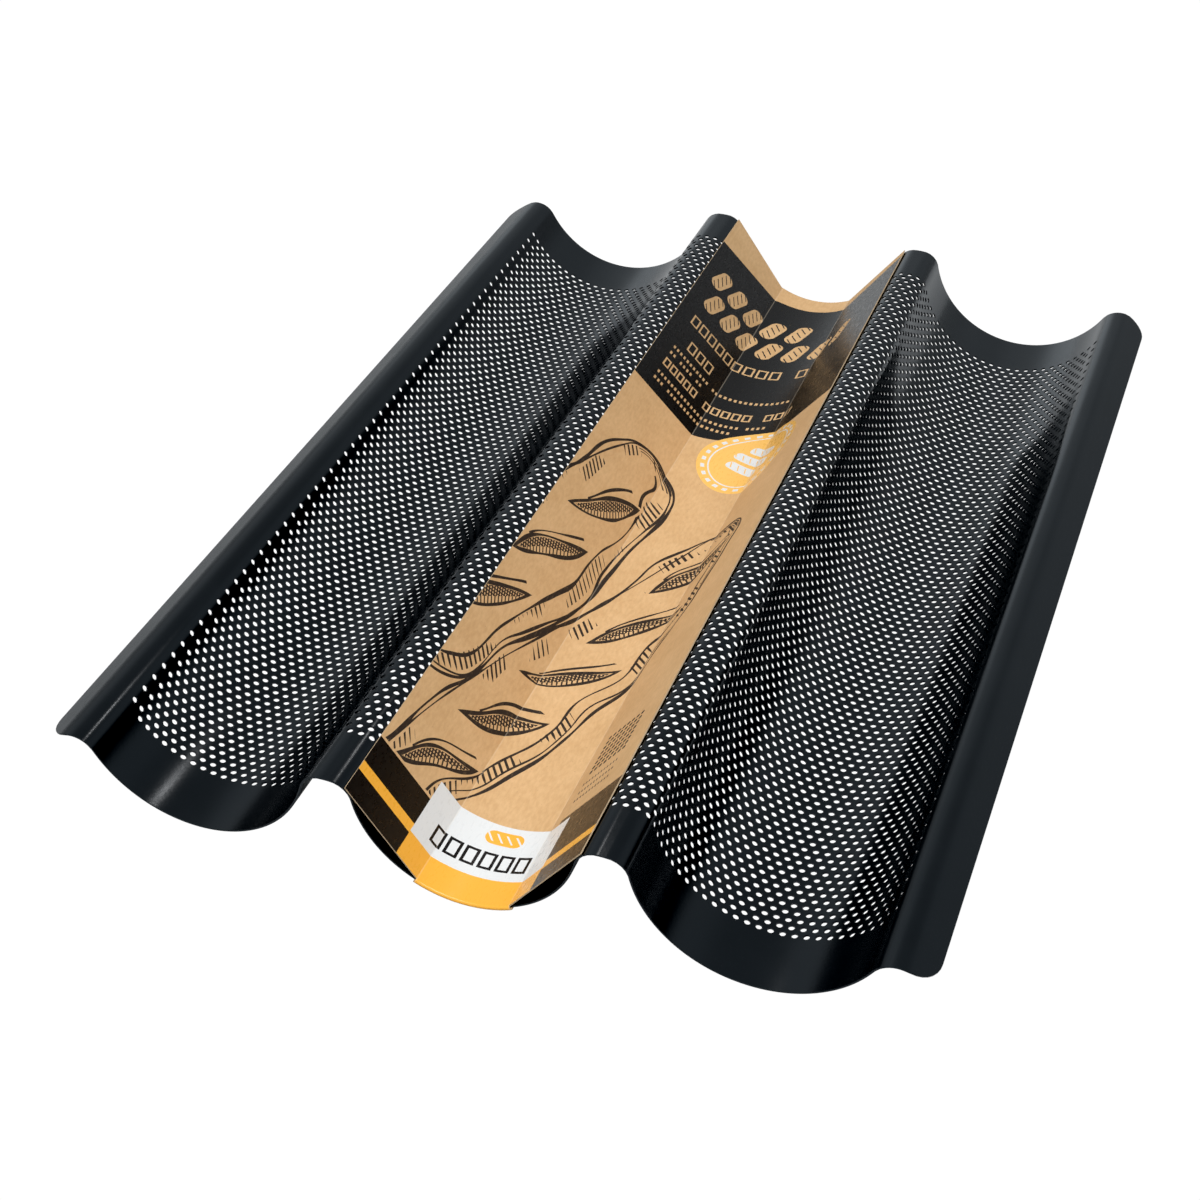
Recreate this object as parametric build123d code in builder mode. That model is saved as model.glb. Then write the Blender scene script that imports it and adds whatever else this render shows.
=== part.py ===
from build123d import *
import os
from math import asin, cos, degrees, radians

# Baguette tray: one coated steel sheet pressed into three round troughs, with a printed card band
# folded round its middle trough. Millimetres; +Y along the troughs, +X across, +Z up. The origin is
# under the middle of the tray, on the surface that it stands on.

# ---------------------------------------------------------------- pressed sheet
LENGTH = 385.0  # along the troughs
SHEET = 0.6  # steel with its coating

# Radii are those of the underside of the sheet, angles those of the wall above the horizontal.
OUTER_RADIUS = 39.1
OUTER_WALL = 75.7  # on the side of the ridge
FLANGE_WALL = 60.0  # on the side of the flange
MIDDLE_RADIUS = 35.9
MIDDLE_WALL = 78.2
RIDGE_BEND = 6.7
RIDGE_FLAT = 2.7  # flat strip along the top of each ridge
FLANGE_BEND = 7.7
FLANGE_SLOPE = 29.0  # how far the flange falls away outwards
FLANGE_WIDTH = 7.4  # its flat strip
FLANGE_CORNER = 10.0  # corner radius, seen square to the flange

# The outer troughs stand on the surface. The ridges are one height, so the middle trough, which is
# smaller, ends a little above it.
RIDGE_UNDERSIDE = (OUTER_RADIUS + RIDGE_BEND) * (1 - cos(radians(OUTER_WALL)))
MIDDLE_RISE = RIDGE_UNDERSIDE - (MIDDLE_RADIUS + RIDGE_BEND) * (1 - cos(radians(MIDDLE_WALL)))
TROUGH_AXIS = Axis((0, 0, MIDDLE_RISE + MIDDLE_RADIUS), (0, 1, 0))

# ---------------------------------------------------------------- card band
CARD = 0.4  # kraft card
CARD_GAP = 0.05  # between the bottom panel and the sheet
END_GAP = 0.2  # between the tray's end and the start of each fold
PANEL_WIDTH = 30.0  # bottom panel, straight across from crease to crease
SIDE_WIDTH = 36.2  # side panel, from crease to cut edge
SIDE_LEAN = 53.3  # degrees above the horizontal
FLAP = 28.0  # length of the flap under each end

# ---------------------------------------------------------------- glue dots
DOT_DIAMETER = 12.0
DOT = 0.15  # room for the dot between the flap and the sheet
DOT_GAP = 0.02  # on each face of the dot
DOT_INSET = 16.0  # from the tray's end


def sheet_line(rise):
    """Right half of the sheet's cross-section line, at a height above the underside."""
    middle = JernArc((0, MIDDLE_RISE + rise), (1, 0), MIDDLE_RADIUS - rise, MIDDLE_WALL)
    ridge_in = JernArc(middle @ 1, middle % 1, RIDGE_BEND + rise, -MIDDLE_WALL)
    ridge_top = Line(ridge_in @ 1, ridge_in @ 1 + Vector(RIDGE_FLAT, 0))
    ridge_out = JernArc(ridge_top @ 1, ridge_top % 1, RIDGE_BEND + rise, -OUTER_WALL)
    outer = JernArc(ridge_out @ 1, ridge_out % 1, OUTER_RADIUS - rise, OUTER_WALL + FLANGE_WALL)
    roll = JernArc(outer @ 1, outer % 1, FLANGE_BEND + rise, -(FLANGE_WALL + FLANGE_SLOPE))
    flange = PolarLine(roll @ 1, FLANGE_WIDTH, -FLANGE_SLOPE)
    return middle @ 0, flange @ 1


# ---- Sheet: a quarter of the tray, with one rounded flange corner, mirrored twice
with BuildPart() as tray_sheet:
    with BuildSketch(Plane.XZ) as section:
        with BuildLine():
            low_start, low_end = sheet_line(0)
            high_start, high_end = sheet_line(SHEET)
            Line(low_start, high_start)
            Line(low_end, high_end)
        make_face()
    extrude(amount=-LENGTH / 2)

    flange_edge = Vector(high_end.X, LENGTH / 2, high_end.Y)
    flange_corner = Plane(origin=flange_edge, x_dir=(0, 1, 0)).rotated((0, FLANGE_SLOPE, 0))
    with BuildSketch(flange_corner) as corner_waste:
        Rectangle(2 * FLANGE_CORNER, 2 * FLANGE_CORNER)
        with Locations((-FLANGE_CORNER, FLANGE_CORNER)):
            Circle(FLANGE_CORNER, mode=Mode.SUBTRACT)
            Rectangle(2 * FLANGE_CORNER, FLANGE_CORNER, align=(Align.CENTER, Align.MIN), mode=Mode.SUBTRACT)
            Rectangle(
                FLANGE_CORNER, 2 * FLANGE_CORNER, align=(Align.MAX, Align.CENTER), mode=Mode.SUBTRACT
            )
    extrude(amount=FLANGE_CORNER, both=True, mode=Mode.SUBTRACT)

    mirror(about=Plane.XZ)
    mirror(about=Plane.YZ)

tray_sheet.part.label = "tray_sheet"

# ---- Card band: bottom panel, end folds and flaps in one strip bent round the trough's axis
strip_low = MIDDLE_RISE - DOT - CARD
strip_high = MIDDLE_RISE + SHEET + CARD_GAP + CARD
strip_height = strip_high - strip_low
strip_centre = (strip_low + strip_high) / 2
panel_radius = TROUGH_AXIS.position.Z - strip_high + CARD / 2
crease_angle = asin(PANEL_WIDTH / 2 / panel_radius)
crease = (PANEL_WIDTH / 2, TROUGH_AXIS.position.Z - panel_radius * cos(crease_angle))

with BuildPart() as card_band:
    with BuildSketch(Plane.YZ) as strip:
        with Locations((0, strip_centre)):
            SlotCenterToCenter(LENGTH + 2 * END_GAP, strip_height)
            SlotCenterToCenter(LENGTH + 2 * END_GAP, strip_height - 2 * CARD, mode=Mode.SUBTRACT)
        with Locations((0, strip_low)):
            Rectangle(LENGTH - 2 * FLAP, strip_height, mode=Mode.SUBTRACT)
    revolve(axis=TROUGH_AXIS, revolution_arc=degrees(crease_angle))

    with BuildSketch(Plane.XZ) as side_panel:
        with Locations(crease):
            Circle(CARD / 2)
            Rectangle(SIDE_WIDTH, CARD, rotation=SIDE_LEAN, align=(Align.MIN, Align.CENTER))
    extrude(amount=LENGTH / 2, both=True)

    mirror(about=Plane.YZ)

card_band.part.label = "card_band"


def glue_dot(along):
    """A round adhesive dot between flap and sheet, bent with them, at a place along the tray."""
    with BuildPart() as dot:
        with BuildSketch(Plane.XZ.offset(-along)):
            with Locations((0, TROUGH_AXIS.position.Z)):
                Circle(MIDDLE_RADIUS + DOT - DOT_GAP)
                Circle(MIDDLE_RADIUS + DOT_GAP, mode=Mode.SUBTRACT)
        extrude(amount=DOT_DIAMETER, both=True)
        with BuildSketch(Plane.XY):
            with Locations((0, along)):
                Circle(DOT_DIAMETER / 2)
        extrude(amount=MIDDLE_RADIUS / 2, mode=Mode.INTERSECT)
    return dot.part


front_glue_dot = glue_dot(DOT_INSET - LENGTH / 2)
front_glue_dot.label = "front_glue_dot"
rear_glue_dot = glue_dot(LENGTH / 2 - DOT_INSET)
rear_glue_dot.label = "rear_glue_dot"

# ---------------------------------------------------------------- files
os.makedirs("parts", exist_ok=True)
for piece in (tray_sheet.part, card_band.part, front_glue_dot, rear_glue_dot):
    export_step(piece, f"parts/{piece.label}.step")
    box = piece.bounding_box()
    print(f"{piece.label}: volume {piece.volume:.1f} mm3, box {box.min} to {box.max}")
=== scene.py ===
import logging
import math
from dataclasses import dataclass, field
from enum import Enum
from typing import Any, Iterable, Optional, Sequence, Union

import bpy
import numpy as np
from mathutils import Matrix, Vector


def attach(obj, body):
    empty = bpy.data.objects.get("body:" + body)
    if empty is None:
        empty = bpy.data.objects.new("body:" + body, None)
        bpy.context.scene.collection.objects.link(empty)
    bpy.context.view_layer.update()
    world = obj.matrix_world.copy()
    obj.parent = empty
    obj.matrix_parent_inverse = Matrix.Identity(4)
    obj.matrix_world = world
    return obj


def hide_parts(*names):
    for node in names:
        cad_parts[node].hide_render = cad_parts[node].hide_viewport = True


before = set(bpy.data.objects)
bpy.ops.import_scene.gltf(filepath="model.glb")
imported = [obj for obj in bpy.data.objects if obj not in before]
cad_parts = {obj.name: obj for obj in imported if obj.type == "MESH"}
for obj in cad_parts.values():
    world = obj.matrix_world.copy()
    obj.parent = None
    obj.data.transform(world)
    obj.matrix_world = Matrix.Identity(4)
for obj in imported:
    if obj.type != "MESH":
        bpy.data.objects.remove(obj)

MM = 0.001
ROUNDING = 1e-9
LOG = logging.getLogger("baguette_tray")

Number = Union[int, float]
Colour = tuple[float, float, float]


class Slot(Enum):
    """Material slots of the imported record."""

    COATED_STEEL = "coated_steel"
    KRAFT_CARD = "kraft_card"
    ADHESIVE = "adhesive"


class Side(Enum):
    """Which surface of the sheet a face belongs to."""

    TOP = 1
    WALL = 0
    UNDERSIDE = -1


# ------------------------------------------------------------------ node trees from Python expressions
class Wire:
    """A node's output socket that takes part in Python arithmetic."""

    def __init__(self, tree: "Tree", socket: bpy.types.NodeSocket) -> None:
        self.tree = tree
        self.socket = socket

    def __add__(self, other: Any) -> "Wire":
        """Sum of the two."""
        return self.tree.math("ADD", self, other)

    def __radd__(self, other: Any) -> "Wire":
        """Sum of the two."""
        return self.tree.math("ADD", other, self)

    def __sub__(self, other: Any) -> "Wire":
        """Difference of the two."""
        return self.tree.math("SUBTRACT", self, other)

    def __rsub__(self, other: Any) -> "Wire":
        """Difference of the two."""
        return self.tree.math("SUBTRACT", other, self)

    def __mul__(self, other: Any) -> "Wire":
        """Product of the two."""
        return self.tree.math("MULTIPLY", self, other)

    def __rmul__(self, other: Any) -> "Wire":
        """Product of the two."""
        return self.tree.math("MULTIPLY", other, self)

    def __truediv__(self, other: Any) -> "Wire":
        """Quotient of the two."""
        return self.tree.math("DIVIDE", self, other)

    def __mod__(self, other: Any) -> "Wire":
        """Remainder that is never negative."""
        return self.tree.math("FLOORED_MODULO", self, other)

    def __pow__(self, other: Any) -> "Wire":
        """Power."""
        return self.tree.math("POWER", self, other)

    def __lt__(self, other: Any) -> "Wire":
        """1 where this is less, else 0."""
        return self.tree.math("LESS_THAN", self, other)

    def __gt__(self, other: Any) -> "Wire":
        """1 where this is more, else 0."""
        return self.tree.math("GREATER_THAN", self, other)

    def __neg__(self) -> "Wire":
        """The value with its sign turned."""
        return self.tree.math("MULTIPLY", self, -1.0)

    def __abs__(self) -> "Wire":
        """The value without its sign."""
        return self.tree.math("ABSOLUTE", self)

    def __or__(self, other: Any) -> "Wire":
        """The larger of two masks."""
        return self.most(other)

    def floor(self) -> "Wire":
        """The whole number below."""
        return self.tree.math("FLOOR", self)

    def least(self, other: Any) -> "Wire":
        """The smaller of the two."""
        return self.tree.math("MINIMUM", self, other)

    def most(self, other: Any) -> "Wire":
        """The larger of the two."""
        return self.tree.math("MAXIMUM", self, other)

    def hypotenuse(self, other: "Wire") -> "Wire":
        """Length of the diagonal over the two."""
        return self.tree.math("SQRT", self * self + other * other)

    def sine(self) -> "Wire":
        """Sine of the value in radians."""
        return self.tree.math("SINE", self)

    def between(self, low: Number, high: Number) -> "Wire":
        """1 where the value lies between two numbers, else 0."""
        middle, half = (low + high) / 2, (high - low) / 2
        return abs(self - middle) < half

    def ramp(self, low: Number, high: Number, start: Number = 0.0, end: Number = 1.0) -> "Wire":
        """A smooth step while the value goes from one number to another.

        Args:
            low: where the step begins.
            high: where it is complete.
            start: result before the step.
            end: result after it.

        Returns:
            The stepped value.
        """
        values = {"Value": self, "From Min": low, "From Max": high, "To Min": start, "To Max": end}
        step = self.tree.node("ShaderNodeMapRange", {"interpolation_type": "SMOOTHSTEP"}, values)
        return self.tree.out(step, "Result")

    def parts(self) -> tuple["Wire", "Wire", "Wire"]:
        """X, Y and Z of a vector."""
        split = self.tree.node("ShaderNodeSeparateXYZ", {}, {"Vector": self})
        return tuple(self.tree.out(split, axis) for axis in "XYZ")


class Tree:
    """Adds nodes and links to one node tree."""

    def __init__(self, tree: bpy.types.NodeTree) -> None:
        self.tree = tree

    def node(
        self, kind: str, settings: Optional[dict[str, Any]] = None, values: Optional[dict[Any, Any]] = None
    ) -> bpy.types.Node:
        """Adds one node.

        Args:
            kind: Blender's type name of the node.
            settings: properties, set before its sockets.
            values: numbers, colours, data or wires for its inputs, by socket name or place.

        Returns:
            The new node.
        """
        made = self.tree.nodes.new(kind)
        for name, value in (settings or {}).items():
            setattr(made, name, value)
        for key, value in (values or {}).items():
            self._feed(self._find(made.inputs, key), value)
        return made

    def out(self, node: bpy.types.Node, key: Any = 0) -> Wire:
        """One of a node's outputs, by name or place."""
        return Wire(self, self._find(node.outputs, key))

    def math(self, operation: str, *terms: Any) -> Wire:
        """A Math node, or a Vector Math node where a term is a vector.

        Args:
            operation: the node's operation.
            terms: wires, numbers or number triples.

        Returns:
            The result.
        """
        kinds = [term.socket.type for term in terms if isinstance(term, Wire)]
        vector = any(kind in ("VECTOR", "RGBA") for kind in kinds)
        kind = "ShaderNodeVectorMath" if vector else "ShaderNodeMath"
        return self.out(self.node(kind, {"operation": operation}, dict(enumerate(terms))))

    def mix(self, mask: Any, low: Any, high: Any) -> Wire:
        """Mixes two colours.

        Args:
            mask: 0 gives the first colour, 1 the second.
            low: the first colour.
            high: the second colour.

        Returns:
            The mixed colour.
        """
        mixer = self.node("ShaderNodeMix", {"data_type": "RGBA"}, {"Factor": mask, "A": low, "B": high})
        return self.out(mixer, "Result")

    def noise(self, place: Wire, scale: Number, detail: Number = 2.0, roughness: Number = 0.5) -> Wire:
        """A noise value from 0 to 1.

        Args:
            place: where the noise is read.
            scale: cells per unit.
            detail: octaves.
            roughness: weight of the fine octaves.

        Returns:
            The value.
        """
        values = {"Vector": place, "Scale": scale, "Detail": detail, "Roughness": roughness}
        return self.out(self.node("ShaderNodeTexNoise", {}, values), 0)

    def join(self, *parts: Any) -> Wire:
        """A vector of up to three values."""
        return self.out(self.node("ShaderNodeCombineXYZ", {}, dict(enumerate(parts))))

    def _find(self, sockets: Iterable[bpy.types.NodeSocket], key: Any) -> bpy.types.NodeSocket:
        """The enabled socket with a name or place.

        Args:
            sockets: a node's inputs or outputs.
            key: its name, or its place among the enabled ones.

        Returns:
            The socket.
        """
        enabled = [socket for socket in sockets if socket.enabled]
        if isinstance(key, int):
            return enabled[key]
        return next(socket for socket in enabled if socket.name == key)

    def _feed(self, socket: bpy.types.NodeSocket, value: Any) -> None:
        """Links a wire or several wires in turn, or sets a plain value.

        Args:
            socket: the input.
            value: a wire, a list of wires, or a plain value.
        """
        if isinstance(value, Wire):
            self.tree.links.new(value.socket, socket)
        elif isinstance(value, list):
            for wire in value:
                self.tree.links.new(wire.socket, socket)
        elif socket.type == "RGBA" and len(value) == 3:
            socket.default_value = (*value, 1.0)
        elif socket.type == "VECTOR" and isinstance(value, (int, float)):
            socket.default_value = (value, value, value)
        else:
            socket.default_value = value


# ------------------------------------------------------------------ finishes
@dataclass(frozen=True)
class Finish:
    """A node-based material; each kind of finish fills in its surface."""

    name: str = "finish"

    def make(self) -> bpy.types.Material:
        """Builds the material.

        Returns:
            The material, with its surface connected.
        """
        material = bpy.data.materials.new(self.name)
        material.use_nodes = True
        material.node_tree.nodes.clear()
        tree = Tree(material.node_tree)
        place = tree.out(tree.node("ShaderNodeTexCoord"), "Object")
        shader = self.surface(tree, place)
        tree.node("ShaderNodeOutputMaterial", {}, {"Surface": tree.out(shader)})
        return material

    def surface(self, tree: Tree, place: Wire) -> bpy.types.Node:
        """Adds the surface shader.

        Args:
            tree: the material's tree.
            place: object coordinates in metres.

        Returns:
            The shader node.
        """
        raise NotImplementedError

    @staticmethod
    def relief(tree: Tree, height: Wire, depth: float) -> Wire:
        """A bumped normal from a height.

        Args:
            tree: the material's tree.
            height: 0 to 1.
            depth: metres between the two.

        Returns:
            The normal.
        """
        values = {"Height": height, "Distance": depth, "Strength": 1.0}
        return tree.out(tree.node("ShaderNodeBump", {}, values))


@dataclass(frozen=True)
class NonStickCoat(Finish):
    """Dark satin coating, sprayed and baked: faint orange peel, dust-fine flecks."""

    name: str = "non_stick_coat"
    deep: Colour = (0.0006, 0.0007, 0.0009)
    paler_tone: Colour = (0.0012, 0.0014, 0.0018)
    fleck: Colour = (0.012, 0.014, 0.017)
    sheen_tint: Colour = (0.72, 0.87, 1.0)
    roughness: float = 0.17
    unevenness: float = 0.02
    peel: float = 0.012 * MM
    cloud_scale: float = 45.0
    grain_scale: float = 2600.0
    peel_scale: float = 900.0

    def surface(self, tree: Tree, place: Wire) -> bpy.types.Node:
        """Adds the coating's shader.

        Args:
            tree: the material's tree.
            place: object coordinates in metres.

        Returns:
            The shader node.
        """
        cloud = tree.noise(place, self.cloud_scale, 3.0)
        grain = tree.noise(place, self.grain_scale, 2.0, 0.6)
        peel = tree.noise(place, self.peel_scale, 2.0, 0.5)
        colour = tree.mix(cloud.ramp(0.35, 0.7), self.deep, self.paler_tone)
        colour = tree.mix(grain.ramp(0.70, 0.76, 0.0, 0.7), colour, self.fleck)
        uneven = self.unevenness
        rough = self.roughness + cloud.ramp(0.3, 0.7, -uneven, 1.5 * uneven)
        rough = rough + grain.ramp(0.3, 0.7, -uneven, uneven)
        values = {
            "Base Color": colour,
            "Roughness": rough,
            "Specular Tint": self.sheen_tint,
            "Normal": self.relief(tree, peel, self.peel),
        }
        return tree.node("ShaderNodeBsdfPrincipled", {}, values)


@dataclass(frozen=True)
class KraftStock(Finish):
    """Brown kraft card: fibres, flecks and a matt skin."""

    name: str = "kraft_stock"
    light: Colour = (0.67, 0.43, 0.218)
    dark: Colour = (0.55, 0.33, 0.150)
    speck: Colour = (0.30, 0.17, 0.08)
    roughness: float = 0.72
    tooth: float = 0.03 * MM
    fibre_scale: tuple[float, float, float] = (900.0, 330.0, 900.0)
    cloud_scale: float = 60.0
    speck_scale: float = 1400.0

    def paper(self, tree: Tree, place: Wire) -> tuple[Wire, Wire]:
        """Colour and height of the bare card.

        Args:
            tree: the material's tree.
            place: coordinates in metres.

        Returns:
            The colour, and the height from 0 to 1.
        """
        fibre = tree.noise(place * self.fibre_scale, 1.0, 4.0, 0.6)
        cloud = tree.noise(place, self.cloud_scale, 3.0, 0.6)
        speck = tree.noise(place, self.speck_scale, 1.0)
        colour = tree.mix(fibre.ramp(0.3, 0.72) * 0.6 + cloud.ramp(0.3, 0.7) * 0.4, self.dark, self.light)
        colour = tree.mix(speck.ramp(0.24, 0.30, 0.35, 0.0), colour, self.speck)
        return colour, fibre

    def surface(self, tree: Tree, place: Wire) -> bpy.types.Node:
        """Adds the card's shader.

        Args:
            tree: the material's tree.
            place: object coordinates in metres.

        Returns:
            The shader node.
        """
        colour, fibre = self.paper(tree, place)
        values = {
            "Base Color": colour,
            "Roughness": fibre.ramp(0.3, 0.7, self.roughness - 0.05, self.roughness + 0.08),
            "Normal": self.relief(tree, fibre, self.tooth),
        }
        return tree.node("ShaderNodeBsdfPrincipled", {}, values)


@dataclass(frozen=True)
class CutEdge(KraftStock):
    """The pale cut through the card's thickness."""

    name: str = "card_cut_edge"
    light: Colour = (0.52, 0.38, 0.24)
    dark: Colour = (0.38, 0.27, 0.16)
    roughness: float = 0.85


@dataclass(frozen=True)
class Loaf:
    """A drawn loaf on the flat card, in millimetres and degrees, with slashes along its back."""

    across: float
    along: float
    turn: float
    half_length: float
    radius: float
    slash_gap: float
    slash_length: float
    slash_width: float
    slash_turn: float
    taper: float = 0.28
    sway: float = 10.0
    line_sway: float = 9.0
    twin: float = 1.9
    crust: float = 7.0


@dataclass(frozen=True)
class Pictogram:
    """A plain loaf mark: a stadium with slanted cuts, in millimetres."""

    half_length: float
    radius: float
    cut_gap: float
    cut_half: float
    cut_reach: float
    cut_lean: float = 0.8
    cut_shift: float = 0.0

    def draw(self, run: Wire, off: Wire, half_length: Optional[float] = None) -> Wire:
        """Draws the mark.

        Args:
            run: place along the mark, from its middle.
            off: place across it.
            half_length: half the straight part, where it isn't the usual one.

        Returns:
            1 on the mark.
        """
        half = self.half_length if half_length is None else half_length
        body = (abs(run) - half).most(0.0).hypotenuse(off) < self.radius
        slant = (run + off * self.cut_lean + self.cut_shift) % self.cut_gap - self.cut_gap / 2
        return body * (1 - (abs(slant) < self.cut_half) * (abs(off) < self.cut_reach))


@dataclass(frozen=True)
class SlantedEnd:
    """An end of the dark panel: its level at a bend, its slope, and what the slope gains left of it."""

    level: float
    bend: float
    slope: float
    left_gain: float

    def at(self, across: Wire) -> Wire:
        """Where the end runs, at a place across."""
        run = across - self.bend
        return run * self.slope + run.least(0.0) * self.left_gain + self.level


@dataclass(frozen=True)
class PictogramRow:
    """A row of loaf marks on the dark panel: its level, its start across the card and its count."""

    level: float
    start: float
    count: int


@dataclass(frozen=True)
class BoxRow:
    """A row of plain boxes in place of a line of print, in millimetres on the flat card."""

    level: float
    half: float
    start: float
    stop: float
    stroke: float = 0.40
    gaps: float = 0.15

    def draw(self, tree: Tree, across: Wire, along: Wire) -> Wire:
        """Draws the row, with boxes left out here and there.

        Args:
            tree: the material's tree.
            across: place across the card.
            along: place along the card.

        Returns:
            1 on a box; low boxes are solid, tall ones are frames.
        """
        run, rise, reach = across - self.start, along - self.level, self.stop - self.start
        pitch = self.half * 1.65 + 0.6
        cell = (run / pitch).floor()
        shift = run - (cell + 0.5) * pitch
        seed = cell * 1.37 + self.half * 9.1 + reach
        chance = tree.out(tree.node("ShaderNodeTexWhiteNoise", {"noise_dimensions": "1D"}, {"W": seed}))
        box = (abs(shift) - self.half * 0.60).most(abs(rise) - self.half)
        mark = abs(box) < self.stroke if self.half > 3 * self.stroke else box < 0.0
        return mark * (chance > self.gaps) * cell.between(-0.5, math.floor(reach / pitch) - 0.5)


@dataclass(frozen=True)
class PrintedKraft(KraftStock):
    """The printed face: ink drawing of loaves, dark panel with pictograms, round badge, end border."""

    name: str = "printed_kraft"
    tooth: float = 0.025 * MM
    ink: Colour = (0.016, 0.009, 0.006)
    black: Colour = (0.0042, 0.0032, 0.0028)
    orange: Colour = (0.87, 0.41, 0.046)
    amber: Colour = (0.87, 0.49, 0.12)
    white: Colour = (0.70, 0.705, 0.70)
    # Colour of the paler crease lines: partly rubbed print, partly a painted highlight on the fold.
    rubbed_and_highlit: Colour = (0.72, 0.60, 0.46)
    specular: float = 0.35
    gloss: float = 0.42
    crease: float = 15.35
    # How far the crease lines turn paler: rubbed print and painted highlight together.
    crease_wear_and_highlight: float = 0.18
    loaves: tuple[Loaf, ...] = (
        Loaf(
            across=-8.0, along=-88.0, turn=19.5, half_length=88.0, radius=19.5,
            slash_gap=36.0, slash_length=35.0, slash_width=6.6, slash_turn=31.0,
        ),
        Loaf(
            across=-40.0, along=-48.0, turn=13.0, half_length=74.0, radius=21.5,
            slash_gap=41.0, slash_length=40.0, slash_width=8.0, slash_turn=29.0,
        ),
    )
    drawing_ends: tuple[float, float] = (-167.0, 55.0)
    panel_far: SlantedEnd = SlantedEnd(182.0, -12.0, 0.08, 0.20)
    panel_near: SlantedEnd = SlantedEnd(66.5, -15.0, 0.44, -0.22)
    panel_corner: float = 13.0
    panel_corner_fall: float = 0.57
    row_slope: float = 0.24
    panel_mark: Pictogram = Pictogram(
        half_length=3.9, radius=3.5, cut_gap=3.4, cut_half=0.34, cut_reach=2.0, cut_shift=1.5
    )
    panel_mark_pitch: float = 10.8
    panel_mark_turn: float = math.radians(19.9)
    panel_mark_rows: tuple[PictogramRow, ...] = (PictogramRow(161.0, -47.0, 5), PictogramRow(144.5, -44.0, 7))
    panel_box_rows: tuple[BoxRow, ...] = (
        BoxRow(125.5, 2.9, -44.0, 20.0),
        BoxRow(110.5, 2.9, -44.0, -8.0),
        BoxRow(102.0, 0.9, -44.0, 16.0),
        BoxRow(97.5, 0.9, -44.0, -22.0),
        BoxRow(90.5, 2.2, -44.0, 22.0),
        BoxRow(82.5, 0.9, -44.0, 12.0),
        BoxRow(78.0, 0.9, -44.0, -2.0),
    )
    grid_across: tuple[float, float] = (21.0, 41.0)
    grid_along: tuple[float, float] = (-137.0, -117.0)
    grid_pitch: float = 2.5
    grid_dot: float = 0.866
    grid_lines: tuple[float, ...] = (-141.5, -145.5, -149.5)
    badge_place: tuple[float, float] = (13.5, 58.0)
    badge_radius: float = 22.6
    badge_turn: float = math.radians(34.0)
    badge_ring: tuple[float, float] = (17.6, 18.2)
    badge_dashes: tuple[float, float] = (19.3, 20.9)
    badge_dash_count: int = 26
    badge_mark: Pictogram = Pictogram(
        half_length=9.0, radius=2.2, cut_gap=4.4, cut_half=0.34, cut_reach=1.3, cut_lean=0.9
    )
    badge_mark_gap: float = 6.2
    label_ends: tuple[float, float] = (-182.5, -159.5)
    label_half: float = 26.0
    label_mark: Pictogram = Pictogram(half_length=3.4, radius=2.9, cut_gap=3.2, cut_half=0.36, cut_reach=1.7)
    label_mark_place: tuple[float, float] = (2.0, -165.0)
    label_boxes: BoxRow = BoxRow(level=-175.2, half=3.1, start=-19.5, stop=19.5, stroke=0.5, gaps=0.0)
    band_left: float = -168.0
    band_right: float = -157.5
    band_inside: float = 20.0
    stripe_ends: tuple[float, float] = (-183.4, -179.6)
    stripe_inside: float = 25.0
    fold_colour_from: float = -182.0

    def surface(self, tree: Tree, place: Wire) -> bpy.types.Node:
        """Adds the printed card's shader, laid out on the flat card in millimetres.

        Args:
            tree: the material's tree.
            place: object coordinates in metres.

        Returns:
            The shader node.
        """
        flat = tree.out(tree.node("ShaderNodeAttribute", {"attribute_name": "flat_card"}), "Vector")
        across, along, _ = flat.parts()
        paper, fibre = self.paper(tree, flat * MM)
        inked = self.drawing(tree, flat, across, along) | self.small_print(tree, across, along)
        colour = tree.mix(inked * fibre.ramp(0.25, 0.5, 0.90, 0.99), paper, self.ink)

        panel = self.panel(across, along)
        marks = self.marks(tree, across, along)
        dark = (panel | self.border(across, along)) * (1 - marks)
        colour = tree.mix(panel * marks, colour, paper)
        colour = tree.mix(dark * fibre.ramp(0.2, 0.4, 0.95, 1.0), colour, self.black)

        badge, badge_marks = self.badge(tree, across, along)
        zone = self.orange_zone(across, along)
        colour = tree.mix(zone, colour, self.orange)
        colour = tree.mix(badge, colour, self.amber)
        label, loaf, boxes = self.label(tree, across, along)
        colour = tree.mix(label | (badge * badge_marks), colour, self.white)
        colour = tree.mix(label * loaf, colour, self.orange)
        colour = tree.mix(label * boxes, colour, self.black)

        # Paler line along each crease: partly rubbed print, partly a painted highlight where the card folds.
        paler_tone = abs(abs(across) - self.crease) < 0.16 + fibre * 0.1
        colour = tree.mix(paler_tone * self.crease_wear_and_highlight, colour, self.rubbed_and_highlit)
        printed = dark | zone | badge | label
        rough = fibre.ramp(0.3, 0.7, self.roughness - 0.05, self.roughness + 0.06)
        values = {
            "Base Color": colour,
            "Roughness": rough - printed * self.gloss,
            "Specular IOR Level": self.specular,
            "Normal": self.relief(tree, fibre, self.tooth),
        }
        return tree.node("ShaderNodeBsdfPrincipled", {}, values)

    def drawing(self, tree: Tree, flat: Wire, across: Wire, along: Wire) -> Wire:
        """Ink lines of the loaves, nearer loaves over farther ones.

        Args:
            tree: the material's tree.
            flat: place on the flat card.
            across: its first part.
            along: its second part.

        Returns:
            1 on a line.
        """
        wobble = tree.noise(flat, 0.035, 0.0) - 0.5
        weight = tree.noise(flat, 0.08, 0.0).ramp(0.25, 0.75, 0.38, 0.82)
        patch = tree.noise(flat, 0.06, 0.0).ramp(0.50, 0.62)
        ink: Any = 0.0
        free: Any = 1.0
        for loaf in self.loaves:
            lines, inside = self.loaf_lines(loaf, across, along, wobble, weight, patch)
            ink = lines * free + ink
            free = (1 - inside) * free
        return ink.least(1.0) * along.between(*self.drawing_ends)

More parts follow.
